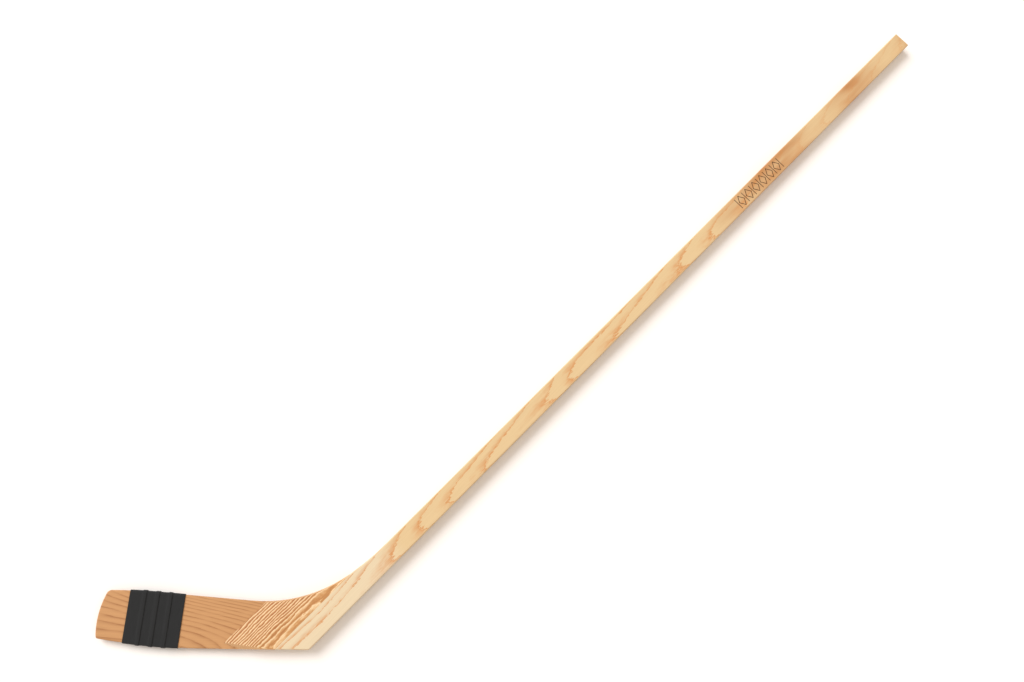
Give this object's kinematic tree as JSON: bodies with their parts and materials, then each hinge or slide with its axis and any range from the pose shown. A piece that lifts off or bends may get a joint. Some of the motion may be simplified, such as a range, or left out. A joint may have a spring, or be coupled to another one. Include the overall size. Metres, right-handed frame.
{
  "type": "ice hockey stick",
  "caption": "Straight-bladed wooden ice hockey stick with a rectangular shaft, a glued heel block and a band of dark cloth tape on the blade.",
  "frame": {"origin": "centre of the bounding box in plan, on the plane that the stick's back face lies on", "axes": "+X along the shaft from heel to butt, +Y towards the blade's side, +Z out of the front face"},
  "size_m": [1.664, 0.2642, 0.02],
  "materials": {
    "shaft_wood": "satin varnished pale ash",
    "heel_wood": "satin varnished ash with strong figure",
    "blade_wood": "satin varnished ash",
    "cloth_tape": "black friction cloth tape"
  },
  "bodies": {
    "root": {"shaft": "shaft_wood", "heel_block": "heel_wood", "blade": "blade_wood", "blade_tape": "cloth_tape"}
  },
  "joints": []
}
